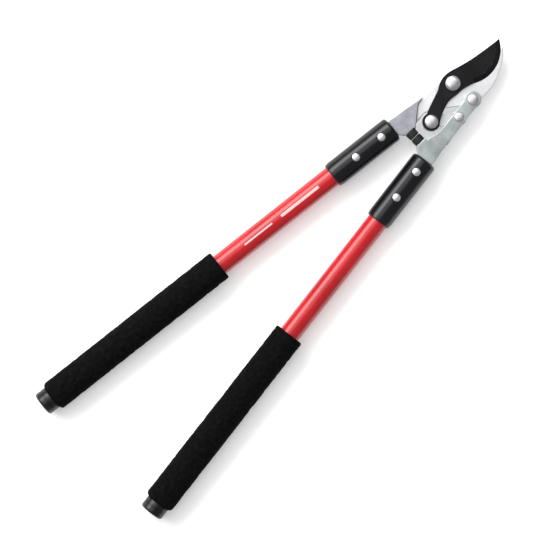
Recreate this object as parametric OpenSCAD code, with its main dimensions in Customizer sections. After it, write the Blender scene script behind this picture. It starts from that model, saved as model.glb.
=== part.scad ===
// Bypass loppers with a compound lever head, lying flat with the jaws shut.
// X runs along the centre line towards the jaws, Y across the tool, Z up from the ground.
// The origin is under the middle of the whole tool, on the ground.
// Outlines of the head are in plan, from a point on the centre line beside the main pivot.

/* [Handles] */
// Half of the angle between the two handles when the jaws are shut
half_angle = 6.9; // [6.5:0.1:7.2]
// Outer diameter of the handle tubes
tube_d = 25.4; // [24:0.2:26]
// Wall thickness of the handle tubes
tube_wall = 1.2; // [0.8:0.1:2]
// Outer diameter of the foam grips
grip_d = 36.8; // [35:0.2:38]
// Length of each foam grip
grip_len = 252; // [200:1:256]
// Length of bare tube between the ferrule and the grip
bare_len = 169; // [140:1:200]
// Outer diameter of the ferrules
ferrule_d = 31.4; // [30.4:0.2:32]
// Length of the ferrules
ferrule_len = 91; // [86:1:110]
// Outer diameter of the end caps
cap_d = 29; // [28:0.5:30]
// Length of the end caps
cap_len = 14.5; // [12:0.5:18]

/* [Head] */
// Thickness of the forged arms where they meet the ferrules
arm_t = 12; // [11:0.5:12]
// Thickness of the blade
blade_t = 5; // [4:0.5:5.5]
// Thickness of the link between the blade's tail and the driving arm
link_t = 5; // [4:0.5:5.4]
// Gap between faces that slide past each other
slide_gap = 0.3; // [0.3:0.05:0.4]
// Width of the ground bevel along the blade's edge
bevel_w = 6; // [4:0.5:8]

/* [Bolts] */
// Radius of the main pivot bolt
main_r = 5; // [4.5:0.1:5.2]
// Radius of the bolt through the blade's tail
tail_r = 4; // [3.5:0.1:4.2]
// Radius of the bolt that the driving arm turns on
arm_r = 4; // [3.5:0.1:4.2]
// Radius of the pin that joins the driving arm to the link
pin_r = 3; // [2.5:0.1:3.1]
// Radius of the domed bolt heads
head_r = 8.3; // [8:0.1:8.5]

/* [Bumpers] */
// Radius of the rubber bumpers
bumper_r = 6.8; // [6:0.1:7]

/* [Hidden] */

$fn = 64;
steel = [0.78, 0.80, 0.82];
blackened = [0.11, 0.11, 0.12];
nylon_black = [0.10, 0.10, 0.11];
foam_black = [0.06, 0.06, 0.06];
paint_red = [0.72, 0.08, 0.10];
bronze = [0.72, 0.52, 0.25];
zinc = [0.86, 0.86, 0.88];
rubber = [0.08, 0.08, 0.08];

left = 1;
right = -1;
over = 1;                    // how far a cutter runs past the face it cuts
run_fit = 0.05;              // radial clearance of a bolt in its bore
seat_gap = 0.05;             // gap between pieces that are assembled face to face

// Stations along a handle, from the point where the two handle axes cross
axes_cross_x = 134;
ferrule_s = 223.1;
tube_s = ferrule_s + 9;
bare_s = ferrule_s + ferrule_len;
grip_s = bare_s + bare_len;
cap_s = grip_s + grip_len + seat_gap;
end_s = cap_s + cap_len;
tube_end_s = end_s - 5;
rivet_stations = [ferrule_s + 18, ferrule_s + 56];

tube_r = tube_d / 2;
bore_r = tube_r - tube_wall;
ferrule_r = ferrule_d / 2;
ferrule_round = 3.4;         // rounding of the ferrule's front end
cap_r = cap_d / 2;
cap_edge = 1;                // chamfer of the cap's front rim
cap_round = 3;               // rounding of its rear rim
grip_round = 5;              // rounding of the grip's rear end
grip_edge = 2;               // rounding of its front end
axis_z = grip_d / 2;

tang_w = 16;
tang_t = 8;
tang_start_s = ferrule_s - 12;
tang_end_s = ferrule_s + 75;
tang_room = 0.5;             // room past the end of the tang
insert_end = 8;              // the insert closes this far past the tang
rivet_r = 2.5;
rivet_head_r = 4.8;
rivet_rim = 0.8;
rivet_dome = 1.4;
rivet_seat = ferrule_r - 1.2;

// Heights of the layers in the head
plate_low = axis_z - arm_t / 2;
arm_top = axis_z + arm_t / 2;
front_low = axis_z + slide_gap;
blade_top = front_low + blade_t;
link_low = axis_z - link_t;
plate_step = 0.3;            // the thin plate stands back this far from the thick arm's underside
back_face = plate_low + plate_step;

// Pivots, in plan
main_pivot = [0, 14];
tail_pivot = [-50, 0];
arm_pivot = [3, -16.5];
link_pivot = [-23, -19.5];
link_hole = [-23.86, -19.98];
link_hole_r = pin_r + 1.3;

main_boss_r = 13.2;
tail_boss_r = 10.6;
arm_boss_r = 9.8;
arm_pad_r = 10.4;
link_tail_r = 11.4;
link_pin_end_r = 9;

// Bolts: domed heads with a rim, and lock nuts with a nylon collar
nut_t = 5.5;
collar_t = 1.4;
washer_t = 1.2;
shank_past = 0.5;            // the shanks end this far below their nuts
head_rim = 1.2;
big_head_h = 3.6;
arm_head_r = 6.6;
arm_head_h = 2.6;
pin_head_r = 5.6;
pin_head_h = 2.2;
m10_nut_w = 15;
m8_nut_w = 13;
m6_nut_w = 10;
bush_wall = 2;

// Bumpers stand on the arms' inner edges and meet near the centre line
bumper_x = -76;
bumper_round = 2;
bumper_edge = 0.8;
left_seat_y = 9.6;
right_seat_y = -8;
left_face_y = 1.2;
right_face_y = 0.8;
screw_r = 2;
screw_depth = 9;
screw_head_r = 3.6;
screw_head_h = 2.2;
screw_room = 0.2;
recess = 4;                  // depth of the hole that sinks the screw's head
slot_w = 0.9;
slot_l = 5;
slot_d = 1.25;

// The blade's tip is the foremost point, the rims of the end caps are the rearmost
blade_tip = [77, 12.4];
rear_x = axes_cross_x - (end_s - cap_round) * cos(half_angle) - (cap_r - cap_round) * sin(half_angle)
    - cap_round;
head_x = -(blade_tip[0] + rear_x) / 2;

// A point beside a handle: a station along its axis and an offset outwards from it
function beside(side, s, off) = [
    axes_cross_x - s * cos(half_angle) + off * sin(half_angle),
    side * (s * sin(half_angle) + off * cos(half_angle))
];

// Points round an arc, from one angle to another
function arc(centre, r, a0, a1, steps) =
    [for (i = [0:steps]) centre + r * [cos(a0 + (a1 - a0) * i / steps), sin(a0 + (a1 - a0) * i / steps)]];

// One point of a smooth curve between p1 and p2, with p0 and p3 as their neighbours
function between(p0, p1, p2, p3, t) =
    0.5 * (2 * p1 + (p2 - p0) * t + (2 * p0 - 5 * p1 + 4 * p2 - p3) * t * t
        + (3 * p1 - p0 - 3 * p2 + p3) * t * t * t);

// An open smooth curve through all but the first and last of its points
function smooth(p, steps) =
    [for (i = [1:len(p) - 3], j = [0:steps - 1]) between(p[i - 1], p[i], p[i + 1], p[i + 2], j / steps)];

module layer(low, thick) {
    translate([head_x, 0, low])
        linear_extrude(thick)
            children();
}

module upright(at, low, r, tall) {
    translate([head_x + at[0], at[1], low])
        cylinder(r = r, h = tall);
}

// Turns a child so that its X runs down a handle from the crossing point
module on_handle(side) {
    translate([head_x + axes_cross_x, 0, axis_z])
        rotate([0, 0, 180 - side * half_angle])
            children();
}

// A solid of revolution about a handle's axis, from [station, radius] points
module turned(points) {
    rotate([0, 90, 0])
        rotate_extrude()
            polygon([for (p = points) [p[1], p[0]]]);
}

module rivet_holes(r) {
    for (s = rivet_stations)
        translate([s, 0, -ferrule_r - over])
            cylinder(r = r, h = 2 * (ferrule_r + over));
}

// ---- Arms and blade, in plan

function thick_arm_outline() = [
    beside(left, ferrule_s, 9.9), beside(left, 196, 8.9), [-36, 28], [-47, 25], [-60, 14.6],
    [-69.4, 6.8], [-69.4, left_seat_y], [-83, left_seat_y], beside(left, ferrule_s, -9.9)
];

hook_outer = [17.7, 51.3];
hook_outer_r = 74;
hook_inner = [41, 46.1];
hook_inner_r = 51.6;
hook_tip = [69.3, 1.3];
hook_tip_r = 2;

// The thin plate under the blade, with the hook; its left end runs on inside the thick arm
function plate_outline() = concat(
    [[-66, 28.5], [-36.6, 27.5], [-12, 26.4]],
    arc(main_pivot, main_boss_r, 110, 10, 12),
    arc(hook_inner, hook_inner_r, -118.9, -58.4, 30),
    arc(hook_tip, hook_tip_r, 60, -45, 6),
    arc(hook_outer, hook_outer_r, -45.4, -93.6, 30),
    [[6, -26.4]],
    arc(arm_pivot, arm_pad_r, -80, -190, 10),
    smooth([[-6, -12], [-13, -10.6], [-24, -2.4], [-41, 9.4], [-50, 12.8], [-57, 11.8], [-66, 11]], 6),
    [[-57, 11.8], [-66, 11.4]]
);

belly_centre = [39.5, 31.6];
belly_r = 41.3;

function blade_outline() = concat(
    [blade_tip],
    smooth([blade_tip, [70, 13], [55, 15.1], [35, 18.6], [19, 22.8], [8, 26.1], [-2, 27.2],
        [-10.6, 25.1], [-18.2, 20.8], [-28.9, 17], [-41.6, 12.8], [-50, 10.6]], 5),
    arc(tail_pivot, tail_boss_r, 76, 290, 28),
    smooth([[-50, -11], [-42.8, -7.1], [-37.4, -4.2], [-29.6, -0.8], [-23.5, 1.3], [-16, 2.5], [-6.2, 1.3],
        [3, 0.6], [9, -0.5], [13.4, -2], [18.6, -4.1]], 5),
    arc(belly_centre, belly_r, -122.4, -29, 40)
);

function bar_outline() = concat(
    [beside(right, 198, 8.6), beside(right, 136, 8.8)],
    arc(arm_pivot, arm_boss_r, -80, 140, 20),
    [beside(right, 148, -7), beside(right, 182, -7), beside(right, 196, -9.4)]
);

function drive_arm_outline() = [
    beside(right, ferrule_s, 9.9), beside(right, 192, 8.6), beside(right, 192, -9.2),
    [-63.5, -12.4], [-68.4, -11.8], [-69.4, -10.8], [-69.4, right_seat_y], [-83, right_seat_y],
    beside(right, ferrule_s, -9.9)
];

// ---- Pieces that both handles have

// The flat tang that runs into a handle
module tang(side) {
    on_handle(side)
        translate([tang_start_s, -tang_w / 2, -tang_t / 2])
            cube([tang_end_s - tang_start_s, tang_w, tang_t]);
}

module tang_bores(side) {
    on_handle(side)
        rivet_holes(rivet_r + run_fit);
}

module ferrule(side) {
    seat_room = 0.4;
    seat_depth = 10;
    color(nylon_black)
        on_handle(side)
            difference() {
                turned(concat(
                    [[ferrule_s + seat_gap, 0]],
                    arc([ferrule_s + seat_gap + ferrule_round, ferrule_r - ferrule_round],
                        ferrule_round, 180, 90, 6),
                    [[bare_s - 6, ferrule_r], [bare_s - 1, ferrule_r - 0.8], [bare_s, ferrule_r - 1.6],
                        [bare_s, 0]]
                ));
                translate([tube_s - seat_gap, 0, 0])
                    rotate([0, 90, 0])
                        cylinder(r = tube_r + seat_gap, h = ferrule_len + over);
                translate([ferrule_s - over, -tang_w / 2 - seat_gap, -tang_t / 2 - seat_gap])
                    cube([tube_s - ferrule_s + 2 * over, tang_w + 2 * seat_gap, tang_t + 2 * seat_gap]);
                rivet_holes(rivet_r + run_fit);
                for (s = rivet_stations, face = [-1, 1])
                    translate([s, 0, face * (rivet_seat + seat_depth / 2)])
                        cylinder(r = rivet_head_r + seat_room, h = seat_depth, center = true);
            }
}

// Two domed rivets through the ferrule, the tube, its insert and the tang
module rivets(side) {
    color(zinc)
        on_handle(side)
            for (s = rivet_stations)
                translate([s, 0, 0]) {
                    cylinder(r = rivet_r, h = 2 * rivet_seat, center = true);
                    for (face = [0, 180])
                        rotate([face, 0, 0])
                            translate([0, 0, rivet_seat])
                                rotate_extrude()
                                    polygon(concat([[0, 0], [rivet_head_r, 0], [rivet_head_r, rivet_rim]],
                                        [for (a = [15:15:90])
                                            [rivet_head_r * cos(a), rivet_rim + rivet_dome * sin(a)]]));
                }
}

// The moulded insert that fills the tube round the tang
module tang_insert(side) {
    color(nylon_black)
        on_handle(side)
            difference() {
                translate([tube_s + seat_gap, 0, 0])
                    rotate([0, 90, 0])
                        cylinder(r = bore_r - seat_gap, h = tang_end_s - tube_s + insert_end);
                translate([tube_s - over, -tang_w / 2 - seat_gap, -tang_t / 2 - seat_gap])
                    cube([tang_end_s - tube_s + over + tang_room, tang_w + 2 * seat_gap,
                        tang_t + 2 * seat_gap]);
                rivet_holes(rivet_r + run_fit);
            }
}

module tube(side) {
    color(paint_red)
        on_handle(side)
            difference() {
                translate([tube_s, 0, 0])
                    rotate([0, 90, 0])
                        cylinder(r = tube_r, h = tube_end_s - tube_s);
                translate([tube_s - over, 0, 0])
                    rotate([0, 90, 0])
                        cylinder(r = bore_r, h = tube_end_s - tube_s + 2 * over);
                rivet_holes(rivet_r + run_fit);
            }
}

module grip(side) {
    grip_r = grip_d / 2;
    grip_end = grip_s + grip_len;
    color(foam_black)
        on_handle(side)
            turned(concat(
                [[grip_s, tube_r + seat_gap], [grip_s, grip_r - grip_edge]],
                arc([grip_s + grip_edge, grip_r - grip_edge], grip_edge, 165, 90, 5),
                arc([grip_end - grip_round, grip_r - grip_round], grip_round, 90, 0, 8),
                [[grip_end, tube_r + seat_gap]]
            ));
}

module end_cap(side) {
    color(nylon_black)
        on_handle(side)
            difference() {
                turned(concat(
                    [[cap_s, 0], [cap_s, cap_r - cap_edge], [cap_s + cap_edge, cap_r]],
                    arc([end_s - cap_round, cap_r - cap_round], cap_round, 90, 0, 6),
                    [[end_s, 0]]
                ));
                translate([cap_s - over, 0, 0])
                    rotate([0, 90, 0])
                        cylinder(r = tube_r + seat_gap, h = tube_end_s - cap_s + seat_gap + over);
            }
}

// A rubber buffer on the inner edge of an arm, with a sunk screw down its middle
module bumper(seat_y, face_y) {
    toward = face_y > seat_y ? 1 : -1;
    tall = abs(face_y - seat_y) - seat_gap;
    color(rubber)
        translate([head_x + bumper_x, seat_y + toward * seat_gap, axis_z])
            rotate([-90 * toward, 0, 0])
                difference() {
                    rotate_extrude()
                        polygon(concat([[0, 0], [bumper_r - bumper_edge, 0], [bumper_r, bumper_edge]],
                            arc([bumper_r - bumper_round, tall - bumper_round], bumper_round, 0, 90, 6),
                            [[0, tall]]));
                    translate([0, 0, -over])
                        cylinder(r = screw_r + seat_gap, h = tall + 2 * over);
                    translate([0, 0, tall - recess])
                        cylinder(r = screw_head_r + screw_room, h = recess + over);
                }
}

module bumper_screw(seat_y, face_y) {
    toward = face_y > seat_y ? 1 : -1;
    tall = abs(face_y - seat_y);
    color(zinc)
        translate([head_x + bumper_x, seat_y, axis_z])
            rotate([-90 * toward, 0, 0])
                difference() {
                    union() {
                        translate([0, 0, slide_gap - screw_depth])
                            cylinder(r = screw_r, h = screw_depth + tall - recess);
                        translate([0, 0, tall - recess + seat_gap])
                            cylinder(r = screw_head_r, h = screw_head_h);
                    }
                    for (size = [[slot_l, slot_w], [slot_w, slot_l]])
                        translate([0, 0, tall - recess + seat_gap + screw_head_h])
                            cube([size[0], size[1], 2 * slot_d], center = true);
                }
}

module bumper_hole(seat_y, into) {
    translate([head_x + bumper_x, seat_y - into * over, axis_z])
        rotate([-90 * into, 0, 0])
            cylinder(r = screw_r + run_fit, h = screw_depth + over);
}

// ---- Bolts and nuts

// A bolt with a domed head: its shank rises to seat_z and the head stands on it
module domed_bolt(at, low, seat_z, shank_r, dome_r, dome_h) {
    translate([head_x + at[0], at[1], 0]) {
        translate([0, 0, low])
            cylinder(r = shank_r, h = seat_z - low);
        translate([0, 0, seat_z])
            rotate_extrude()
                polygon(concat([[0, 0], [dome_r, 0], [dome_r, head_rim]],
                    [for (a = [9:9:90]) [dome_r * cos(a), head_rim + (dome_h - head_rim) * sin(a)]]));
    }
}

// A hexagon nut with a nylon collar below it, hanging under a face
module lock_nut(at, top, across, r) {
    hex_r = across / 2 / cos(30);
    color(zinc)
        translate([head_x + at[0], at[1], top - nut_t])
            difference() {
                union() {
                    translate([0, 0, collar_t])
                        cylinder(r = hex_r, h = nut_t - collar_t, $fn = 6);
                    cylinder(r = across / 2 - 0.8, h = collar_t + seat_gap);
                }
                translate([0, 0, -over])
                    cylinder(r = r + run_fit, h = nut_t + 2 * over);
            }
}

main_seat = blade_top + slide_gap + washer_t;

module main_pivot_bolt() {
    color(zinc)
        domed_bolt(main_pivot, back_face - nut_t - shank_past, main_seat, main_r, head_r, big_head_h);
}

module main_pivot_washer() {
    color(zinc)
        difference() {
            upright(main_pivot, blade_top + slide_gap, head_r + 0.4, washer_t - seat_gap);
            upright(main_pivot, blade_top, main_r + run_fit, washer_t + over);
        }
}

module main_pivot_nut() {
    lock_nut(main_pivot, back_face - seat_gap, m10_nut_w, main_r);
}

module arm_pivot_bolt() {
    color(zinc)
        domed_bolt(arm_pivot, back_face - nut_t - shank_past, arm_top + slide_gap, arm_r,
            arm_head_r, arm_head_h);
}

module arm_pivot_nut() {
    lock_nut(arm_pivot, back_face - seat_gap, m8_nut_w, arm_r);
}

tail_nut_top = link_low - slide_gap;
link_washer_low = link_low - slide_gap - washer_t;

module tail_bolt() {
    color(zinc)
        domed_bolt(tail_pivot, tail_nut_top - nut_t - shank_past, blade_top + seat_gap, tail_r,
            head_r - 0.2, big_head_h);
}

module tail_nut() {
    lock_nut(tail_pivot, tail_nut_top, m8_nut_w, tail_r);
}

module link_pin() {
    color(zinc)
        domed_bolt(link_pivot, link_washer_low - nut_t - shank_past, arm_top + seat_gap, pin_r,
            pin_head_r, pin_head_h);
}

module link_washer() {
    link_washer_r = 8;
    color(zinc)
        difference() {
            upright(link_pivot, link_washer_low, link_washer_r, washer_t);
            upright(link_pivot, link_washer_low - over, pin_r + run_fit, washer_t + 2 * over);
        }
}

module link_nut() {
    lock_nut(link_pivot, link_washer_low - seat_gap, m6_nut_w, pin_r);
}

// ---- Head

// The fixed jaw, its plate and the arm that runs into the left handle, in one forging
module hook_forging() {
    color(steel)
        difference() {
            union() {
                layer(plate_low, arm_t)
                    polygon(thick_arm_outline());
                layer(plate_low + plate_step, arm_t / 2 - plate_step)
                    polygon(plate_outline());
                tang(left);
            }
            tang_bores(left);
            upright(main_pivot, plate_low - over, main_r + run_fit, arm_t);
            upright(arm_pivot, plate_low - over, arm_r + run_fit, arm_t);
            bumper_hole(left_seat_y, 1);
            hook_bevel();
        }
}

// Relieves the back of the hook along its inner edge
module hook_bevel() {
    relief = 4;
    slope = 0.75;
    translate([head_x + hook_inner[0], hook_inner[1], back_face])
        rotate([0, 0, -112])
            rotate_extrude(angle = 52, $fn = 120)
                polygon([[hook_inner_r - 2, -over], [hook_inner_r + relief + over / slope, -over],
                    [hook_inner_r - 2, (relief + 2) * slope]]);
}

// The cutting blade with its tail, ground along the belly
module blade() {
    color(blackened)
        difference() {
            layer(front_low, blade_t)
                polygon(blade_outline());
            upright(main_pivot, front_low - over, main_r + bush_wall + run_fit, blade_t + 2 * over);
            upright(tail_pivot, front_low - over, tail_r + run_fit, blade_t + 2 * over);
            blade_bevel();
        }
}

// The ground bevel: everything above a cone that runs down to the belly's edge
module blade_bevel() {
    edge_land = 0.5;
    slope = (blade_t - edge_land) / bevel_w;
    past = 0.6;
    translate([head_x + belly_centre[0], belly_centre[1], 0])
        rotate([0, 0, -121])
            rotate_extrude(angle = 100, $fn = 120)
                polygon([[belly_r - bevel_w - over / slope, blade_top + over],
                    [belly_r + past, front_low + edge_land - past * slope],
                    [belly_r + 3, front_low + edge_land - past * slope],
                    [belly_r + 3, blade_top + over]]);
}

module pivot_bushing() {
    color(bronze)
        difference() {
            upright(main_pivot, front_low, main_r + bush_wall, blade_t);
            upright(main_pivot, front_low - over, main_r + run_fit, blade_t + 2 * over);
        }
}

// The short link: a close bore on the tail bolt and a wide one round the arm's pin
module link() {
    turn = atan2(link_hole[1] - tail_pivot[1], link_hole[0] - tail_pivot[0]);
    color(steel)
        difference() {
            layer(link_low, link_t)
                polygon(concat(
                    arc(tail_pivot, link_tail_r, turn + 38, turn + 322, 30),
                    arc(link_hole, link_pin_end_r, turn - 124, turn + 124, 24)
                ));
            upright(tail_pivot, link_low - over, tail_r + run_fit, link_t + 2 * over);
            upright(link_hole, link_low - over, link_hole_r, link_t + 2 * over);
        }
}

// The arm that runs into the right handle: thick at the ferrule, a half-thickness bar at the pivots
module drive_arm() {
    color(steel)
        difference() {
            union() {
                layer(plate_low, arm_t)
                    polygon(drive_arm_outline());
                layer(front_low, arm_top - front_low)
                    polygon(bar_outline());
                tang(right);
            }
            tang_bores(right);
            upright(arm_pivot, plate_low, arm_r + run_fit, arm_t + over);
            upright(link_pivot, plate_low, pin_r + run_fit, arm_t + over);
            bumper_hole(right_seat_y, -1);
        }
}

// ---- Nodes

module left_ferrule() {
    ferrule(left);
}

module left_rivets() {
    rivets(left);
}

module left_tang_insert() {
    tang_insert(left);
}

module left_tube() {
    tube(left);
}

module left_grip() {
    grip(left);
}

module left_end_cap() {
    end_cap(left);
}

module left_bumper() {
    bumper(left_seat_y, left_face_y);
}

module left_bumper_screw() {
    bumper_screw(left_seat_y, left_face_y);
}

module right_ferrule() {
    ferrule(right);
}

module right_rivets() {
    rivets(right);
}

module right_tang_insert() {
    tang_insert(right);
}

module right_tube() {
    tube(right);
}

module right_grip() {
    grip(right);
}

module right_end_cap() {
    end_cap(right);
}

module right_bumper() {
    bumper(right_seat_y, right_face_y);
}

module right_bumper_screw() {
    bumper_screw(right_seat_y, right_face_y);
}

hook_forging();
left_ferrule();
left_rivets();
left_tang_insert();
left_tube();
left_grip();
left_end_cap();
left_bumper();
left_bumper_screw();
main_pivot_bolt();
main_pivot_washer();
main_pivot_nut();
arm_pivot_bolt();
arm_pivot_nut();
blade();
pivot_bushing();
tail_bolt();
tail_nut();
link();
drive_arm();
right_ferrule();
right_rivets();
right_tang_insert();
right_tube();
right_grip();
right_end_cap();
right_bumper();
right_bumper_screw();
link_pin();
link_washer();
link_nut();
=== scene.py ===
# Bypass loppers with a compound lever head: the finished pieces and their materials,
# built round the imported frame. Everything is in metres, in the frame's own coordinates.
import math

import bmesh
import bpy
from mathutils import Matrix, Vector


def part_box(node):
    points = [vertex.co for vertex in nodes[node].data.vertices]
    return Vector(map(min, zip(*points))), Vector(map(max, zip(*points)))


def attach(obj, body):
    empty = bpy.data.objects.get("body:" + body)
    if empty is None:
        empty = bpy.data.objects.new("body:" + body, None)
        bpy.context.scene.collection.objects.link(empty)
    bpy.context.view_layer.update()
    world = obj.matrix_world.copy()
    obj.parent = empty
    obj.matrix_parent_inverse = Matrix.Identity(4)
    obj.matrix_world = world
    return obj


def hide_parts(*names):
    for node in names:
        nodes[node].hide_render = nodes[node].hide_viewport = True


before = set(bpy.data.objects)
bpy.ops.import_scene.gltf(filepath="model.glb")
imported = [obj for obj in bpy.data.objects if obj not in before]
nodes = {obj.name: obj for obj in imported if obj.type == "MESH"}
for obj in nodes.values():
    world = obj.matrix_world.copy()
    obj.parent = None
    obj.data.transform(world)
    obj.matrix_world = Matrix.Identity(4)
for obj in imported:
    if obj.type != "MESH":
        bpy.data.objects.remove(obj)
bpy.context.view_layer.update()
mm = 0.001
weld = 0.002 * mm  # points closer than this are one point


class Signal:
    # one socket of a node tree; the operators add Math nodes to its tree
    def __init__(self, tree, socket):
        self.tree = tree
        self.socket = socket

    def maths(self, operation, *values, clamp=False):
        node = self.tree.node("ShaderNodeMath", {"operation": operation, "use_clamp": clamp}, list(values))
        return node.out(0)

    def __add__(self, other):
        return self.maths("ADD", self, other)

    def __radd__(self, other):
        return self.maths("ADD", other, self)

    def __sub__(self, other):
        return self.maths("SUBTRACT", self, other)

    def __rsub__(self, other):
        return self.maths("SUBTRACT", other, self)

    def __mul__(self, other):
        return self.maths("MULTIPLY", self, other)

    def __rmul__(self, other):
        return self.maths("MULTIPLY", other, self)

    def __truediv__(self, other):
        return self.maths("DIVIDE", self, other)

    def __rtruediv__(self, other):
        return self.maths("DIVIDE", other, self)

    def __neg__(self):
        return self.maths("MULTIPLY", self, -1.0)

    def above(self, level):
        return self.maths("GREATER_THAN", self, level)

    def below(self, level):
        return self.maths("LESS_THAN", self, level)

    def least(self, other):
        return self.maths("MINIMUM", self, other)

    def most(self, other):
        return self.maths("MAXIMUM", self, other)

    def call(self, operation, *values):
        return self.maths(operation, self, *values)

    def held(self):
        return self.maths("ADD", self, 0.0, clamp=True)

    def spread(self, low, high, toLow=0.0, toHigh=1.0):
        # a smooth step from toLow to toHigh as this goes from low to high
        node = self.tree.node(
            "ShaderNodeMapRange",
            {"interpolation_type": "SMOOTHSTEP"},
            {"Value": self, "From Min": low, "From Max": high, "To Min": toLow, "To Max": toHigh},
        )
        return node.out("Result")


class Made:
    # a node that has been added, and its outputs as signals
    def __init__(self, tree, node):
        self.tree = tree
        self.raw = node

    def out(self, key):
        return Signal(self.tree, self.raw.outputs[key])


class Tree:
    # a shader or geometry tree, and the one way that nodes are added to it
    def __init__(self, tree):
        self.raw = tree

    def node(self, kind, settings=None, inputs=None):
        made = self.raw.nodes.new(kind)
        for key, value in (settings or {}).items():
            setattr(made, key, value)
        pairs = enumerate(inputs) if isinstance(inputs, list) else (inputs or {}).items()
        for key, value in pairs:
            self.feed(made.inputs[key], value)
        return Made(self, made)

    def feed(self, socket, value):
        if isinstance(value, Signal):
            self.raw.links.new(value.socket, socket)
        elif value is not None:
            socket.default_value = value


class Finish(Tree):
    # a material with one Principled shader; patterns read Object coordinates
    def __init__(self, name, turn=0.0):
        self.material = bpy.data.materials.new(name)
        self.material.use_nodes = True
        super().__init__(self.material.node_tree)
        self.raw.nodes.clear()
        end = self.node("ShaderNodeOutputMaterial").raw
        self.shader = self.node("ShaderNodeBsdfPrincipled").raw
        self.raw.links.new(self.shader.outputs[0], end.inputs[0])
        place = self.node("ShaderNodeTexCoord").out("Object")
        turned = {"Vector": place, "Rotation": (0.0, 0.0, turn)}
        self.place = self.node("ShaderNodeMapping", None, turned).out(0)

    def stretched(self, scale):
        return self.node("ShaderNodeMapping", None, {"Vector": self.place, "Scale": scale}).out(0)

    def noise(self, scale, detail=4.0, rough=0.55, place=None, warp=0.0):
        node = self.node("ShaderNodeTexNoise", None, {
            "Vector": place or self.place, "Scale": scale, "Detail": detail, "Roughness": rough,
            "Distortion": warp})
        return node.out("Fac")

    def cells(self, scale):
        node = self.node("ShaderNodeTexVoronoi", {"feature": "F1"}, {"Vector": self.place, "Scale": scale})
        return node.out("Distance")

    def attribute(self, name):
        return self.node("ShaderNodeAttribute", {"attribute_name": name}).out("Fac")

    def mix(self, amount, first, second):
        # a colour mix has its factor at socket 0 and its two colours at 6 and 7
        node = self.node("ShaderNodeMix", {"data_type": "RGBA"}, {
            0: amount, 6: self.tone(first), 7: self.tone(second)})
        return node.out(2)

    def tone(self, value):
        return value if isinstance(value, Signal) or len(value) == 4 else (*value, 1.0)

    def apart(self):
        node = self.node("ShaderNodeSeparateXYZ", None, [self.place])
        return node.out(0), node.out(1), node.out(2)

    def bump(self, height, strength, distance, under=None):
        inputs = {"Height": height, "Strength": strength, "Distance": distance}
        if under is not None:
            inputs["Normal"] = under
        return self.node("ShaderNodeBump", None, inputs).out(0)

    def finish(self, **inputs):
        for key, value in inputs.items():
            name = {
                "color": "Base Color", "metallic": "Metallic", "roughness": "Roughness", "normal": "Normal",
                "coat": "Coat Weight", "coatRoughness": "Coat Roughness", "specular": "Specular IOR Level",
            }[key]
            if key == "color":
                value = self.tone(value)
            self.feed(self.shader.inputs[name], value)
        return self.material


def middle(name):
    low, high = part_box(name)
    return (low + high) / 2


def handleAxis(side):
    # two plain cylinders lie true on the axis; the root is level with the ferrule's middle
    near = middle(side + "_tang_insert")
    along = (middle(side + "_tube") - near).normalized()
    return near + along * (middle(side + "_ferrule") - near).dot(along), along


class Handle:
    # stations run down the handle from the ferrule's middle
    def __init__(self, side, body):
        self.side = side
        self.body = body
        self.root, self.along = handleAxis(side)
        self.turn = math.atan2(self.along.y, self.along.x)
        self.matrix = Matrix.Translation(self.root) @ Matrix.Rotation(self.turn, 4, "Z")

    def ends(self, name):
        # first and last station of a node on this handle
        inverse = self.matrix.inverted()
        stations = [(inverse @ v.co).x for v in nodes[name].data.vertices]
        return min(stations), max(stations)

    def reach(self, name):
        # largest radius of a node on this handle
        inverse = self.matrix.inverted()
        return max(math.hypot((inverse @ v.co).y, (inverse @ v.co).z) for v in nodes[name].data.vertices)


leftHandle = Handle("left", "hook_side")
rightHandle = Handle("right", "drive_side")
handles = (leftHandle, rightHandle)


def link(name, mesh):
    piece = bpy.data.objects.new(name, mesh)
    bpy.context.scene.collection.objects.link(piece)
    return piece


def settle(piece, body, material, nodeName):
    # one material, one body, one slot, in place of one CAD node
    piece.data.materials.clear()
    piece.data.materials.append(material)
    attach(piece, body)
    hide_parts(nodeName)


def withFlatFaces(piece):
    # normals that keep the large faces flat and let the rounded edges turn
    piece.data.shade_smooth()
    modifier = piece.modifiers.new("normals", "WEIGHTED_NORMAL")
    modifier.keep_sharp = True
    modifier.weight = 60
    return plainMesh(piece)


def plainMesh(piece):
    # the evaluated mesh takes the place of the mesh and its modifiers
    bpy.context.view_layer.update()
    depsgraph = bpy.context.evaluated_depsgraph_get()
    finished = bpy.data.meshes.new_from_object(piece.evaluated_get(depsgraph), depsgraph=depsgraph)
    piece.modifiers.clear()
    old = piece.data
    piece.data = finished
    if old.users == 0:
        bpy.data.meshes.remove(old)
    return piece


copyPlan = dict(merge=0.003 * mm, flat=0.6, sharp=24.0)  # angles in degrees


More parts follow.
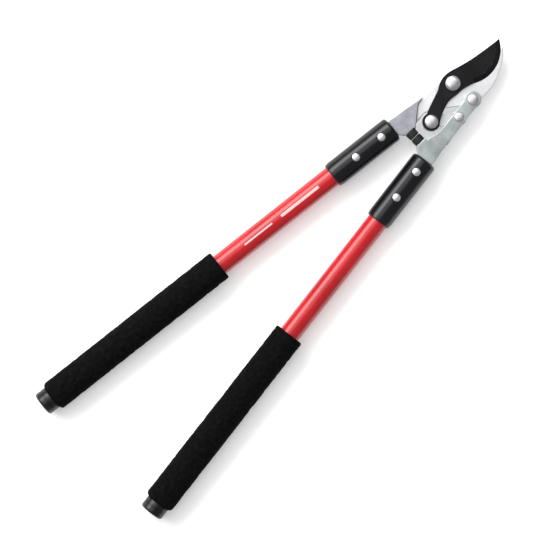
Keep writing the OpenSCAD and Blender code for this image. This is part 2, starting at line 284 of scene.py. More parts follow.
def roundedCopy(nodeName, pieceName, width, segments):
    # a merged copy of a CAD node with its edges rounded; the new faces are marked as edges for wear
    work = bmesh.new()
    work.from_mesh(nodes[nodeName].data)
    bmesh.ops.remove_doubles(work, verts=work.verts, dist=copyPlan["merge"])
    bmesh.ops.dissolve_degenerate(work, edges=work.edges, dist=copyPlan["merge"] / 3)
    bmesh.ops.dissolve_limit(
        work, angle_limit=math.radians(copyPlan["flat"]), verts=work.verts, edges=work.edges,
        use_dissolve_boundaries=False,
    )
    layer = work.faces.layers.float.new("edgeWear")
    limit = math.radians(copyPlan["sharp"])
    chosen = [edge for edge in work.edges
              if len(edge.link_faces) == 2 and edge.calc_face_angle(0.0) >= limit]
    made = bmesh.ops.bevel(
        work, geom=chosen, offset=width, offset_type="OFFSET", segments=segments,
        profile=0.5, affect="EDGES", clamp_overlap=False, miter_outer="ARC",
    )
    for face in made["faces"]:
        face[layer] = 1.0
    low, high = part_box(nodeName)
    for vert in work.verts:  # an arc at a thin tip can run past the tip
        vert.co = [min(max(c, a), b) for c, a, b in zip(vert.co, low, high)]
    bmesh.ops.triangulate(work, faces=[f for f in work.faces if len(f.verts) > 4])
    mesh = bpy.data.meshes.new(pieceName)
    work.to_mesh(mesh)
    work.free()
    return withFlatFaces(link(pieceName, mesh))


def lathe(name, matrix, profile, around):
    # a closed solid of revolution about local X from a closed loop of (station, radius)
    work = bmesh.new()
    rings = []
    for k in range(around):
        angle = 2 * math.pi * k / around
        ring = []
        for station, radius in profile:
            spot = Vector((station, radius * math.cos(angle), radius * math.sin(angle)))
            ring.append(work.verts.new(matrix @ spot))
        rings.append(ring)
    count = len(profile)
    for k in range(around):
        here, there = rings[k], rings[(k + 1) % around]
        for j in range(count):
            i = (j + 1) % count
            if (here[j].co - there[j].co).length < 1e-7 and (here[i].co - there[i].co).length < 1e-7:
                continue
            work.faces.new((here[j], here[i], there[i], there[j]))
    bmesh.ops.remove_doubles(work, verts=work.verts, dist=weld)
    bmesh.ops.recalc_face_normals(work, faces=work.faces)
    mesh = bpy.data.meshes.new(name)
    work.to_mesh(mesh)
    work.free()
    mesh.shade_smooth()
    return link(name, mesh)


def arcPoints(centre, radius, start, stop, steps):
    # points of an arc in (station, radius)
    made = []
    for k in range(steps + 1):
        angle = math.radians(start + (stop - start) * k / steps)
        made.append((centre[0] + radius * math.cos(angle), centre[1] + radius * math.sin(angle)))
    return made


def forgedSteel(name, tint, grainTurn, ground=None, level=0.0):
    # satin all over, or ground brighter below a height
    paint = Finish(name, turn=grainTurn)
    cloud = paint.noise(38.0, 5.0, 0.6)
    mottle = paint.noise(420.0, 3.0, 0.5)
    grain = paint.noise(900.0, 4.0, 0.65, paint.stretched((0.06, 1.0, 1.0)))
    scratch = paint.noise(260.0, 2.0, 0.5, paint.stretched((0.12, 1.6, 1.0)), 0.6)
    lines = (scratch - 0.5).call("ABSOLUTE").spread(0.0, 0.012, 1.0, 0.0)
    worn = paint.attribute("edgeWear") * mottle.spread(0.25, 0.80)
    shade = cloud.spread(0.34, 0.68)
    darker = tuple(c * 0.68 for c in tint)
    color = paint.mix(shade, darker, tint)
    if ground:
        x, y, z = paint.apart()
        bright = paint.mix(shade, tuple(c * 0.88 for c in ground), ground)
        color = paint.mix(z.below(level), color, bright)
    color = paint.mix(worn * 0.4, color, (0.80, 0.80, 0.80))
    color = paint.mix(lines * 0.25, color, tuple(c * 0.55 for c in tint))
    rough = (0.24 + cloud * 0.16 + grain * 0.12 - worn * 0.12).held()
    height = paint.bump(grain, 0.16, 0.00006)
    height = paint.bump(mottle, 0.22, 0.00012, height)
    height = paint.bump(lines * -1.0, 0.12, 0.00005, height)
    return paint.finish(color=color, metallic=1.0, roughness=rough, normal=height)


def blackenedBlade(name):
    # a black low-friction coat, ground bright steel only where the edge has worn
    paint = Finish(name, turn=0.3)
    mottle = paint.noise(380.0, 4.0, 0.55)
    cloud = paint.noise(30.0, 4.0, 0.6)
    grind = paint.noise(1400.0, 3.0, 0.6, paint.stretched((1.0, 0.05, 1.0)))
    rub = paint.noise(120.0, 5.0, 0.6, paint.stretched((0.25, 1.0, 1.0)), 0.4)
    worn = paint.attribute("edgeWear") * mottle.spread(0.50, 0.70)
    rubbed = rub.spread(0.64, 0.78)
    bare = (worn * 0.18 + rubbed * 0.05).held()
    color = paint.mix(cloud.spread(0.3, 0.7), (0.0045, 0.0045, 0.0050), (0.0095, 0.0095, 0.0105))
    color = paint.mix(bare, color, (0.42, 0.42, 0.44))
    rough = (0.34 + cloud * 0.10 + mottle * 0.08 - bare * 0.10).held()
    height = paint.bump(mottle, 0.18, 0.00010)
    height = paint.bump(grind, 0.05, 0.00004, height)
    return paint.finish(color=color, metallic=(bare * 0.9).held(), roughness=rough, normal=height,
                        specular=0.12)


def glossRed(name, handle, band=None):
    # sprayed enamel on tube: a fine orange peel under a clear gloss, and small scuffs
    paint = Finish(name)
    paint.place = straightened(paint, handle)
    x, y, z = paint.apart()
    cloud = paint.noise(16.0, 3.0, 0.5)
    peel = paint.noise(700.0, 2.0, 0.5)
    scuff = paint.noise(130.0, 5.0, 0.62, paint.stretched((0.22, 1.0, 1.0)), 0.5)
    scuffed = scuff.spread(0.64, 0.70)
    color = paint.mix(cloud.spread(0.35, 0.65), (0.44, 0.003, 0.008), (0.54, 0.005, 0.011))
    color = paint.mix(scuffed * 0.18, color, (0.70, 0.10, 0.10))
    if band:
        color = paint.mix(bandMask(paint, x, y, z, band), color, (0.72, 0.56, 0.54))
    rough = (0.30 + cloud * 0.06 + scuffed * 0.20).held()
    height = paint.bump(peel, 0.05, 0.00010)
    return paint.finish(color=color, roughness=rough, normal=height, specular=0.30,
                        coat=0.65, coatRoughness=0.20)


def straightened(paint, handle):
    # coordinates whose X runs down the handle and whose Z is up
    place = paint.node("ShaderNodeTexCoord").out("Object")
    root = tuple(handle.root)
    moved = paint.node("ShaderNodeVectorMath", {"operation": "SUBTRACT"}, [place, root]).out(0)
    turned = paint.node("ShaderNodeVectorRotate", {"rotation_type": "Z_AXIS"}, {
        "Vector": moved, "Angle": -handle.turn})
    return turned.out(0)


def bandMask(paint, x, y, z, band):
    # plain printed bars on the upper face of the tube, where a label would be
    mask = None
    for start, length, low, tall in band:
        along = x.above(start) * x.below(start + length)
        across = y.above(low) * y.below(low + tall)
        bar = along * across
        mask = bar if mask is None else mask.most(bar)
    chipped = paint.noise(900.0, 3.0, 0.6).spread(0.30, 0.36)
    return (mask * z.above(0.0) * chipped).held()


def mouldedPlastic(name, handle, tone, gloss):
    # the fine grain of the mould, flow marks along the piece, hairline scratches and rubbed edges
    paint = Finish(name)
    paint.place = straightened(paint, handle)
    fine = paint.noise(600.0, 3.0, 0.5)
    cloud = paint.noise(45.0, 4.0, 0.6)
    flow = paint.noise(90.0, 3.0, 0.5, paint.stretched((0.12, 1.0, 1.0)))
    scratch = paint.noise(300.0, 3.0, 0.5, paint.stretched((0.10, 1.3, 1.3)), 0.8)
    lines = (scratch - 0.5).call("ABSOLUTE").spread(0.0, 0.010, 1.0, 0.0)
    lighter = tuple(c * 1.7 + 0.001 for c in tone)
    color = paint.mix(cloud.spread(0.3, 0.72), tone, lighter)
    color = paint.mix(lines * 0.12, color, tuple(c * 3.0 + 0.01 for c in tone))
    worn = paint.attribute("edgeWear")
    color = paint.mix(worn * 0.35, color, tuple(c * 2.2 + 0.01 for c in tone))
    rough = (gloss + cloud * 0.06 + flow * 0.05 + lines * 0.10).held()
    height = paint.bump(fine, 0.10, 0.00010)
    height = paint.bump(lines * -1.0, 0.10, 0.00006, height)
    return paint.finish(color=color, roughness=rough, normal=height, specular=0.42)


def cellFoam(name, handle):
    # closed cell foam: a skin of small pores whose pits are painted darker as shade, matte, a little grey
    # where it catches light
    paint = Finish(name)
    paint.place = straightened(paint, handle)
    pores = paint.cells(950.0)
    coarse = paint.cells(420.0)
    cloud = paint.noise(170.0, 5.0, 0.7)
    fuzz = paint.noise(2200.0, 3.0, 0.7)
    pitDepthAndShade = pores.spread(0.05, 0.42)
    grain = (pitDepthAndShade * 0.65 + coarse.spread(0.1, 0.5) * 0.35).held()
    # painted shade: the colour is darker in the pore pits, where shade would fall, and the same mask dips the
    # bump
    color = paint.mix(grain, (0.0009, 0.0009, 0.0010), (0.0036, 0.0036, 0.0039))
    color = paint.mix(cloud.spread(0.42, 0.66) * 0.6, color, (0.0085, 0.0085, 0.0089))
    rough = (0.86 + fuzz * 0.12).held()
    height = paint.bump(grain, 0.55, 0.00035)
    height = paint.bump(fuzz, 0.25, 0.00012, height)
    height = paint.bump(cloud, 0.35, 0.0009, height)
    return paint.finish(color=color, roughness=rough, normal=height, specular=0.05)


def mouldedRubber(name):
    # dull black with a fine skin, paler where its edges are rubbed
    paint = Finish(name)
    fine = paint.noise(1100.0, 4.0, 0.6)
    cloud = paint.noise(90.0, 3.0, 0.5)
    worn = paint.attribute("edgeWear")
    color = paint.mix(cloud.spread(0.3, 0.7), (0.006, 0.006, 0.0065), (0.013, 0.013, 0.014))
    color = paint.mix(worn * 0.3, color, (0.04, 0.04, 0.04))
    rough = (0.58 + cloud * 0.18).held()
    height = paint.bump(fine, 0.3, 0.00012)
    return paint.finish(color=color, roughness=rough, normal=height, specular=0.4)


def zincPlate(name, tone, rough):
    # bright plating with a faint cloud and a few nicks from the spanner
    paint = Finish(name)
    cloud = paint.noise(240.0, 4.0, 0.6)
    fine = paint.noise(1600.0, 3.0, 0.6)
    nick = paint.noise(520.0, 3.0, 0.5, None, 0.5).spread(0.66, 0.72)
    color = paint.mix(cloud.spread(0.3, 0.7), tuple(c * 0.82 for c in tone), tone)
    color = paint.mix(nick * 0.5, color, (0.45, 0.44, 0.42))
    roughness = (rough + cloud * 0.12 + nick * 0.2).held()
    height = paint.bump(fine, 0.06, 0.00004)
    height = paint.bump(nick * -1.0, 0.2, 0.00008, height)
    return paint.finish(color=color, metallic=1.0, roughness=roughness, normal=height)


def oiledBronze(name):
    # sintered bronze, dark in its pores
    paint = Finish(name)
    cloud = paint.noise(500.0, 4.0, 0.6)
    pores = paint.cells(1800.0).spread(0.05, 0.3)
    color = paint.mix(cloud, (0.30, 0.19, 0.07), (0.55, 0.38, 0.16))
    height = paint.bump(pores, 0.3, 0.0001)
    return paint.finish(color=color, metallic=1.0, roughness=(0.3 + cloud * 0.2).held(), normal=height)


print("materials")
plateTop = middle("left_tube").z + 0.4 * mm
leftSteel = forgedSteel("forged steel, hook side", (0.44, 0.44, 0.49), 0.12, (0.82, 0.82, 0.83), plateTop)
rightSteel = forgedSteel("forged steel, driving arm", (0.46, 0.50, 0.50), -0.12)
linkSteel = forgedSteel("stamped steel", (0.64, 0.65, 0.66), 0.63)
bladeCoat = blackenedBlade("black coated blade steel")
boltZinc = zincPlate("bright zinc, bolts", (0.66, 0.66, 0.69), 0.26)
nutZinc = zincPlate("bright zinc, nuts", (0.60, 0.60, 0.63), 0.22)
rivetZinc = zincPlate("bright zinc, rivets", (0.76, 0.76, 0.79), 0.28)
bumperRubber = mouldedRubber("bumper rubber")
bushBronze = oiledBronze("oiled bronze")


flatPieces = {
    "hook_forging": dict(piece="hook_forging_finished", body="hook_side", slot="forged_hook",
                         material=leftSteel, width=0.9 * mm, segments=3),
    "drive_arm": dict(piece="drive_arm_finished", body="drive_side", slot="forged_arm",
                      material=rightSteel, width=0.8 * mm, segments=3),
    "link": dict(piece="link_finished", body="link_body", slot="link_steel",
                 material=linkSteel, width=0.5 * mm, segments=3),
    "blade": dict(piece="blade_finished", body="blade_body", slot="blackened_blade",
                  material=bladeCoat, width=0.35 * mm, segments=2),
    "main_pivot_washer": dict(piece="pivot_washer_finished", body="hook_side", slot="bolt_zinc",
                              material=boltZinc, width=0.2 * mm, segments=2),
    "link_washer": dict(piece="link_washer_finished", body="drive_side", slot="bolt_zinc",
                        material=boltZinc, width=0.2 * mm, segments=2),
    "left_bumper": dict(piece="left_bumper_finished", body="hook_side", slot="bumper_rubber",
                        material=bumperRubber, width=0.3 * mm, segments=2),
    "right_bumper": dict(piece="right_bumper_finished", body="drive_side", slot="bumper_rubber",
                         material=bumperRubber, width=0.3 * mm, segments=2),
    "left_bumper_screw": dict(piece="left_bumper_screw_finished", body="hook_side", slot="bolt_zinc",
                              material=boltZinc, width=0.12 * mm, segments=2),
    "right_bumper_screw": dict(piece="right_bumper_screw_finished", body="drive_side", slot="bolt_zinc",
                               material=boltZinc, width=0.12 * mm, segments=2),
}

print("forged and flat pieces")
for nodeName, plan in flatPieces.items():
    piece = roundedCopy(nodeName, plan["piece"], plan["width"], plan["segments"])
    settle(piece, plan["body"], plan["material"], nodeName)


# grooveAt and dish are shares of the cap's length and of its radius
capPlan = dict(
    rim=0.7 * mm, crown=3.0 * mm, groove=0.6 * mm, grooveAt=0.42, dish=0.62, dishLip=0.6 * mm,
    dishDepth=0.5 * mm, play=0.05 * mm, around=80, tone=(0.0014, 0.0014, 0.0016), gloss=0.26,
)
tubePlan = dict(width=0.3 * mm, segments=2)
ferrulePlan = dict(width=0.35 * mm, segments=3, tone=(0.0010, 0.0013, 0.0022), gloss=0.17)
insertPlan = dict(tone=(0.02, 0.02, 0.022), gloss=0.5)
# start past the ferrule's middle, length, lower edge, height
printedBars = [
    (135.5 * mm, 41.0 * mm, -1.2 * mm, 2.0 * mm),
    (66.0 * mm, 56.0 * mm, -1.8 * mm, 3.4 * mm),
]


def endCap(handle):
    name = handle.side + "_end_cap"
    first, last = handle.ends(name)
    radius = handle.reach(name)
    plan = capPlan
    tubeEnd = handle.ends(handle.side + "_tube")[1] + plan["play"]
    bore = handle.reach(handle.side + "_tube") + plan["play"]
    grooveAt = first + (last - first) * plan["grooveAt"]
    deep = plan["groove"]
    rim = plan["rim"]
    crown = plan["crown"]
    profile = [(first, bore)]
    profile += arcPoints((first + rim, radius - rim), rim, 180, 90, 4)
    profile += [(grooveAt - deep, radius), (grooveAt - 0.5 * deep, radius - 0.75 * deep),
                (grooveAt + 0.5 * deep, radius - 0.75 * deep), (grooveAt + deep, radius)]
    profile += arcPoints((last - crown, radius - crown), crown, 90, 0, 7)
    dish = radius * plan["dish"]
    floor = last - plan["dishDepth"]
    profile += [(last, dish + plan["dishLip"]), (floor, dish), (floor, 0.0)]
    profile += [(tubeEnd, 0.0), (tubeEnd, bore)]
    piece = lathe(name + "_moulded", handle.matrix, profile, plan["around"])
    sharpen(piece, 40)
    material = mouldedPlastic("vinyl cap, " + handle.side, handle, plan["tone"], plan["gloss"])
    settle(piece, handle.body, material, name)


def sharpen(piece, degrees):
    piece.data.set_sharp_from_angle(angle=math.radians(degrees))


def paintedTube(handle):
    name = handle.side + "_tube"
    piece = roundedCopy(name, name + "_painted", tubePlan["width"], tubePlan["segments"])
    bars = printedBars if handle.side == "left" else None
    material = glossRed("red enamel, " + handle.side, handle, bars)
    settle(piece, handle.body, material, name)


def nylonFerrule(handle):
    name = handle.side + "_ferrule"
    plan = ferrulePlan
    piece = roundedCopy(name, name + "_moulded", plan["width"], plan["segments"])
    material = mouldedPlastic("nylon ferrule, " + handle.side, handle, plan["tone"], plan["gloss"])
    settle(piece, handle.body, material, name)


def repaint(nodeName, material):
    # a CAD node that keeps its own mesh
    materials = nodes[nodeName].data.materials
    materials.clear()
    materials.append(material)


print("handles")
for handle in handles:
    endCap(handle)
    paintedTube(handle)
    nylonFerrule(handle)
    tone, gloss = insertPlan["tone"], insertPlan["gloss"]
    repaint(handle.side + "_tang_insert", mouldedPlastic("nylon insert, " + handle.side, handle, tone, gloss))
repaint("pivot_bushing", bushBronze)


def geometryTree(name, inputs):
    # a geometry tree with named inputs; returns the tree, the input node and each input's identifier
    group = bpy.data.node_groups.new(name, "GeometryNodeTree")
    group.interface.new_socket("Geometry", in_out="INPUT", socket_type="NodeSocketGeometry")
    for label, kind in inputs:
        group.interface.new_socket(label, in_out="INPUT", socket_type=kind)
    group.interface.new_socket("Geometry", in_out="OUTPUT", socket_type="NodeSocketGeometry")
    tree = Tree(group)
    source = tree.node("NodeGroupInput")
    keys = {item.name: item.identifier for item in group.interface.items_tree if item.in_out == "INPUT"}
    return tree, source, keys


def domeTree():
    # a domed head with a rim, on a shank, set on each point and aimed by "aim"
    inputs = [("Head radius", "NodeSocketFloat"), ("Rim", "NodeSocketFloat"), ("Dome", "NodeSocketFloat"),
              ("Shank radius", "NodeSocketFloat"), ("Shank length", "NodeSocketFloat"),
              ("Round", "NodeSocketInt"), ("Finish", "NodeSocketMaterial")]
    tree, source, keys = geometryTree("domed heads", inputs)
    headRadius = source.out("Head radius")
    rim = source.out("Rim")
    head = tree.node("GeometryNodeMeshCylinder", {"fill_type": "TRIANGLE_FAN"}, {
        "Vertices": source.out("Round"), "Side Segments": 4, "Fill Segments": 12,
        "Radius": headRadius, "Depth": rim}).out("Mesh")
    spot = tree.node("GeometryNodeInputPosition").out(0)
    parts = tree.node("ShaderNodeSeparateXYZ", None, [spot])
    x, y, z = parts.out(0), parts.out(1), parts.out(2)
    share = ((x * x + y * y).call("SQRT") / headRadius).least(1.0)
    crown = (1.0 - share * share).most(0.0).call("SQRT")
    lift = crown * source.out("Dome")
    topFace = z.above(rim * 0.49)
    rise = tree.node("ShaderNodeCombineXYZ", None, [0.0, 0.0, lift]).out(0)
    domed = tree.node("GeometryNodeSetPosition", None, {
        "Geometry": head, "Selection": topFace, "Offset": rise}).out(0)
    raised = tree.node("GeometryNodeTransform", None, {
        "Geometry": domed,
        "Translation": tree.node("ShaderNodeCombineXYZ", None, [0.0, 0.0, rim * 0.5]).out(0)}).out(0)
    length = source.out("Shank length")
    shank = tree.node("GeometryNodeMeshCylinder", {"fill_type": "TRIANGLE_FAN"}, {
        "Vertices": 40, "Side Segments": 1, "Fill Segments": 1,
        "Radius": source.out("Shank radius"), "Depth": length}).out("Mesh")
    lowered = tree.node("GeometryNodeTransform", None, {
        "Geometry": shank,
        "Translation": tree.node("ShaderNodeCombineXYZ", None, [0.0, 0.0, length * -0.5]).out(0)}).out(0)
    both = tree.node("GeometryNodeJoinGeometry").raw
    tree.raw.links.new(raised.socket, both.inputs[0])
    tree.raw.links.new(lowered.socket, both.inputs[0])
    return finishTree(tree, source, Signal(tree, both.outputs[0])), keys


def nutTree():
    # a chamfered hexagon nut hanging below each point, with a nylon collar
    inputs = [("Across flats", "NodeSocketFloat"), ("Height", "NodeSocketFloat"),
              ("Collar", "NodeSocketFloat"), ("Round", "NodeSocketInt"), ("Finish", "NodeSocketMaterial")]
    tree, source, keys = geometryTree("lock nuts", inputs)
    flats = source.out("Across flats")
    height = source.out("Height")
    collar = source.out("Collar")
    hexHeight = height - collar
    apothem = flats * 0.5
    body = tree.node("GeometryNodeMeshCylinder", {"fill_type": "TRIANGLE_FAN"}, {
        "Vertices": source.out("Round"), "Side Segments": 10, "Fill Segments": 6,
        "Radius": 1.0, "Depth": 1.0}).out("Mesh")
    spot = tree.node("GeometryNodeInputPosition").out(0)
    parts = tree.node("ShaderNodeSeparateXYZ", None, [spot])
    x, y, z = parts.out(0), parts.out(1), parts.out(2)
    angle = y.maths("ARCTAN2", y, x) + math.pi
    wedge = angle.call("MODULO", math.pi / 3) - math.pi / 6
    reach = apothem / wedge.call("COSINE")
    share = (x * x + y * y).call("SQRT")
    radius = share * reach
    corner = (radius - apothem * 0.985).most(0.0) * 0.55
    half = hexHeight * 0.5
    tall = (z * hexHeight).least(half - corner)
    tall = tall.most(corner - half)
    placed = tree.node("ShaderNodeCombineXYZ", None, [
        x * reach, y * reach, tall - half]).out(0)
    nut = tree.node("GeometryNodeSetPosition", None, {"Geometry": body, "Position": placed}).out(0)
    ring = tree.node("GeometryNodeMeshCylinder", {"fill_type": "TRIANGLE_FAN"}, {
        "Vertices": 48, "Side Segments": 2, "Fill Segments": 2,
        "Radius": apothem * 0.9, "Depth": collar}).out("Mesh")
    ringDown = tree.node("ShaderNodeCombineXYZ", None, [0.0, 0.0, -hexHeight - collar * 0.5]).out(0)
    ring = tree.node("GeometryNodeTransform", None, {"Geometry": ring, "Translation": ringDown}).out(0)
    both = tree.node("GeometryNodeJoinGeometry").raw
    tree.raw.links.new(nut.socket, both.inputs[0])
    tree.raw.links.new(ring.socket, both.inputs[0])
    return finishTree(tree, source, Signal(tree, both.outputs[0])), keys


def finishTree(tree, source, shape, axis="Z"):
    # the shape on every point, turned so that the chosen axis follows the point's own aim
    kind = {"data_type": "FLOAT_VECTOR"}
    aim = tree.node("GeometryNodeInputNamedAttribute", kind, {"Name": "aim"}).out(0)
    turn = tree.node("FunctionNodeAlignRotationToVector", {"axis": axis}, {"Vector": aim}).out(0)
    placed = tree.node("GeometryNodeInstanceOnPoints", None, {
        "Points": source.out("Geometry"), "Instance": shape, "Rotation": turn}).out(0)
    real = tree.node("GeometryNodeRealizeInstances", None, {"Geometry": placed}).out(0)
    painted = tree.node("GeometryNodeSetMaterial", None, {
        "Geometry": real, "Material": source.out("Finish")}).out(0)
    tree.node("NodeGroupOutput", None, [painted])
    return tree.raw


def onPoints(name, group, keys, points, values):
    # points are (place, aim) pairs; the result is one plain mesh
    mesh = bpy.data.meshes.new(name)
    mesh.from_pydata([tuple(place) for place, aim in points], [], [])
    layer = mesh.attributes.new("aim", "FLOAT_VECTOR", "POINT")
    layer.data.foreach_set("vector", [c for place, aim in points for c in aim])
    piece = link(name, mesh)
    modifier = piece.modifiers.new("shape", "NODES")
    modifier.node_group = group
    for label, value in values.items():
        modifier[keys[label]] = value
    plainMesh(piece)
    work = bmesh.new()
    work.from_mesh(piece.data)
    bmesh.ops.remove_doubles(work, verts=work.verts, dist=weld)
    bmesh.ops.recalc_face_normals(work, faces=work.faces)
    work.to_mesh(piece.data)
    work.free()
    piece.data.shade_smooth()
    sharpen(piece, 35)
    return piece


def sleeveTree():
    # a foam sleeve along X: the columns of a grid run out along its skin and back along its bore
    inputs = [("Length", "NodeSocketFloat"), ("Radius", "NodeSocketFloat"), ("Bore", "NodeSocketFloat"),
              ("Front round", "NodeSocketFloat"), ("Rear round", "NodeSocketFloat"),
              ("Unevenness", "NodeSocketFloat"), ("Seed", "NodeSocketFloat"),
              ("Columns", "NodeSocketInt"), ("Around", "NodeSocketInt"), ("Finish", "NodeSocketMaterial")]
    tree, source, keys = geometryTree("foam sleeve", inputs)
    columns = source.out("Columns")
    around = source.out("Around")
    grid = tree.node("GeometryNodeMeshGrid", None, {
        "Size X": 1.0, "Size Y": 1.0, "Vertices X": columns + 1.0, "Vertices Y": around + 1.0}).out("Mesh")
    spot = tree.node("GeometryNodeInputPosition").out(0)
    parts = tree.node("ShaderNodeSeparateXYZ", None, [spot])
    column = ((parts.out(0) + 0.5) * columns).call("ROUND")
    angle = (parts.out(1) + 0.5) * (2 * math.pi)
    share = ((column - 1.0) / (columns - 3.0)).held()
    spaced = share - (share * (2 * math.pi)).call("SINE") * (0.9 / (2 * math.pi))
    closing = column.above(columns - 0.5)
    length = source.out("Length")
    station = spaced * length * (1.0 - closing)
    skin = column.above(0.5) * column.below(columns - 1.5)
    front = cornerDrop(station, source.out("Front round"))
    rear = cornerDrop(length - station, source.out("Rear round"))
    turning = tree.node("ShaderNodeCombineXYZ", None, [
        station * 62.0, angle.call("COSINE") * 1.9, angle.call("SINE") * 1.9 + source.out("Seed")]).out(0)
    lumps = tree.node("ShaderNodeTexNoise", None, {
        "Vector": turning, "Scale": 1.7, "Detail": 5.0, "Roughness": 0.62}).out("Fac")
    dips = (lumps - 0.44).most(0.0) * source.out("Unevenness")
    outer = source.out("Radius") - front - rear - dips
    radius = source.out("Bore") * (1.0 - skin) + outer * skin
    placed = tree.node("ShaderNodeCombineXYZ", None, [
        station, radius * angle.call("COSINE"), radius * angle.call("SINE")]).out(0)
    shaped = tree.node("GeometryNodeSetPosition", None, {"Geometry": grid, "Position": placed}).out(0)
    merged = tree.node("GeometryNodeMergeByDistance", None, {"Geometry": shaped, "Distance": weld}).out(0)
    return finishTree(tree, source, merged, "X"), keys


def cornerDrop(distance, rounding):
    # how far a quarter round pulls the radius in at this distance from an end
    inside = (1.0 - distance / rounding).most(0.0)
    return rounding * (1.0 - (1.0 - inside * inside).most(0.0).call("SQRT"))


domes, domeKeys = domeTree()
sleeve, sleeveKeys = sleeveTree()
nuts, nutKeys = nutTree()

boltPlans = {
    "main_pivot_bolt": dict(body="hook_side", rim=1.2 * mm, dome=2.4 * mm, shank=5.0 * mm),
    "arm_pivot_bolt": dict(body="hook_side", rim=1.2 * mm, dome=1.4 * mm, shank=4.0 * mm),
    "tail_bolt": dict(body="blade_body", rim=1.2 * mm, dome=2.4 * mm, shank=4.0 * mm),
    "link_pin": dict(body="drive_side", rim=1.2 * mm, dome=1.0 * mm, shank=3.0 * mm),
}

nutPlans = {
    "main_pivot_nut": dict(body="hook_side", across=15.0 * mm),
    "arm_pivot_nut": dict(body="hook_side", across=13.0 * mm),
    "tail_nut": dict(body="blade_body", across=13.0 * mm),
    "link_nut": dict(body="drive_side", across=10.0 * mm),
}
nutCollar = 1.4 * mm

rivetPlan = dict(head=4.8 * mm, rim=0.8 * mm, dome=1.4 * mm, shank=2.5 * mm, play=0.01 * mm)
roundBolt = 72  # sides of a bolt's head or a nut, and of a rivet's head
roundRivet = 48

gripPlan = dict(
    frontRound=2.0 * mm, rearRound=5.2 * mm, unevenness=3.6 * mm, play=0.05 * mm,
    columns=190, around=120, seeds=(0.0, 7.3),
)


def foamGrip(handle, seed):
    name = handle.side + "_grip"
    plan = gripPlan
    first, last = handle.ends(name)
    start = handle.matrix @ Vector((first, 0.0, 0.0))
    paint = cellFoam("foam, " + handle.side, handle)
    piece = onPoints(name + "_foam", sleeve, sleeveKeys, [(start, handle.along)], {
        "Length": last - first, "Radius": handle.reach(name),
        "Bore": handle.reach(handle.side + "_tube") + plan["play"],
        "Front round": plan["frontRound"], "Rear round": plan["rearRound"],
        "Unevenness": plan["unevenness"], "Seed": seed,
        "Columns": plan["columns"], "Around": plan["around"], "Finish": paint})
    settle(piece, handle.body, paint, name)


print("foam grips")
for handle, seed in zip(handles, gripPlan["seeds"]):
    foamGrip(handle, seed)

print("fasteners")
for nodeName, plan in boltPlans.items():
    low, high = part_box(nodeName)
    headRadius = (high.x - low.x) / 2
    seat = high.z - plan["rim"] - plan["dome"]
    centre = (low + high) / 2
    point = (Vector((centre.x, centre.y, seat)), Vector((0, 0, 1)))
    piece = onPoints(nodeName + "_turned", domes, domeKeys, [point], {
        "Head radius": headRadius, "Rim": plan["rim"], "Dome": plan["dome"], "Shank radius": plan["shank"],
        "Shank length": seat - low.z, "Round": roundBolt, "Finish": boltZinc})
    settle(piece, plan["body"], boltZinc, nodeName)

for nodeName, plan in nutPlans.items():
    low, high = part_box(nodeName)
    point = (Vector(((low.x + high.x) / 2, (low.y + high.y) / 2, high.z)), Vector((0, 0, 1)))
    piece = onPoints(nodeName + "_turned", nuts, nutKeys, [point], {
        "Across flats": plan["across"], "Height": high.z - low.z, "Collar": nutCollar,
        "Round": roundBolt, "Finish": nutZinc})
    settle(piece, plan["body"], nutZinc, nodeName)

for handle in handles:
    nodeName = handle.side + "_rivets"
    low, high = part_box(nodeName)
    inverse = handle.matrix.inverted()
    crown = (high.z - low.z) / 2
    local = [inverse @ v.co for v in nodes[nodeName].data.vertices]
    # the highest points of the domes stand over the rivets' stations
    stations = sorted({round(v.x, 3) for v in local if abs(abs(v.z) - crown) < 0.005 * mm})
    top = crown - rivetPlan["rim"] - rivetPlan["dome"]
    points = []
    for station in stations:
        for face in (1, -1):
            points.append((handle.matrix @ Vector((station, 0.0, face * top)), Vector((0, 0, face))))
    piece = onPoints(nodeName + "_domed", domes, domeKeys, points, {
        "Head radius": rivetPlan["head"], "Rim": rivetPlan["rim"], "Dome": rivetPlan["dome"],
        "Shank radius": rivetPlan["shank"], "Shank length": top - rivetPlan["play"],
        "Round": roundRivet, "Finish": rivetZinc})
    settle(piece, handle.body, rivetZinc, nodeName)


groundPlan = dict(size=12.0, glow=0.30, dark=(0.90, 0.90, 0.90), light=(0.92, 0.92, 0.92))


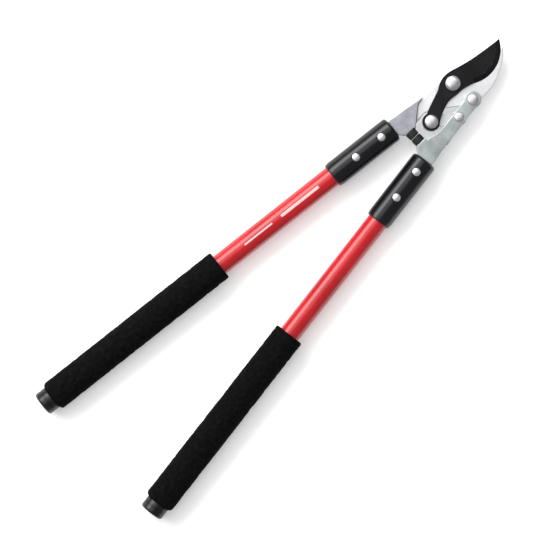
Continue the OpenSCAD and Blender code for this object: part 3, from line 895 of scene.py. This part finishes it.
def groundSheet():
    # a pale sheet with a little light of its own, so that it stays nearly white
    plan = groundPlan
    work = bmesh.new()
    bmesh.ops.create_grid(work, x_segments=2, y_segments=2, size=plan["size"])
    mesh = bpy.data.meshes.new("ground")
    work.to_mesh(mesh)
    work.free()
    ground = link("ground", mesh)
    paint = Finish("pale ground")
    soft = paint.noise(9.0, 2.0, 0.5)
    color = paint.mix(soft, plan["dark"], plan["light"])
    paint.shader.inputs["Emission Color"].default_value = (1.0, 1.0, 1.0, 1.0)
    paint.shader.inputs["Emission Strength"].default_value = plan["glow"]
    mesh.materials.append(paint.finish(color=color, roughness=0.8, specular=0.1))


# the side box puts the long pale band on the tubes and ferrules
lightPlans = {
    "overhead box": dict(place=(0.3, 2.0, 3.0), target=(0.3, 2.0, 0.0), size=(5.0, 4.0), power=90.0),
    "side box": dict(place=(0.0, 2.3, 2.0), target=(0.0, 0.0, 0.0), size=(3.6, 1.6), power=95.0),
}
worldPlan = dict(color=(0.98, 0.985, 1.0, 1.0), strength=0.36)


def softLight(name, plan):
    data = bpy.data.lights.new(name, "AREA")
    data.shape = "RECTANGLE"
    data.size, data.size_y = plan["size"]
    data.energy = plan["power"]
    lamp = bpy.data.objects.new(name, data)
    bpy.context.scene.collection.objects.link(lamp)
    lamp.location = plan["place"]
    aim = Vector(plan["target"]) - Vector(plan["place"])
    lamp.rotation_euler = aim.to_track_quat("-Z", "Y").to_euler()


# aim is measured from the main pivot; width is what the view spans at the tool's height
cameraPlan = dict(
    turn=45.18, height=4.0, width=0.649, aim=(-308.0 * mm, -10.6 * mm), plane=0.018, sensor=36.0,
)


def studio():
    world = bpy.data.worlds.new("studio")
    world.use_nodes = True
    background = world.node_tree.nodes["Background"]
    background.inputs["Color"].default_value = worldPlan["color"]
    background.inputs["Strength"].default_value = worldPlan["strength"]
    bpy.context.scene.world = world
    bpy.context.scene.view_settings.view_transform = "Standard"
    for name, plan in lightPlans.items():
        softLight(name, plan)


def lookDown():
    plan = cameraPlan
    data = bpy.data.cameras.new("camera")
    data.sensor_width = plan["sensor"]
    data.lens = plan["sensor"] * (plan["height"] - plan["plane"]) / plan["width"]
    data.clip_end = 50.0
    camera = bpy.data.objects.new("camera", data)
    bpy.context.scene.collection.objects.link(camera)
    pivot = middle("main_pivot_bolt")
    camera.location = (pivot.x + plan["aim"][0], pivot.y + plan["aim"][1], plan["height"])
    camera.rotation_euler = (0.0, 0.0, -math.radians(plan["turn"]))
    bpy.context.scene.camera = camera


print("floor, lights and camera")
groundSheet()
studio()
lookDown()

bpy.context.view_layer.update()
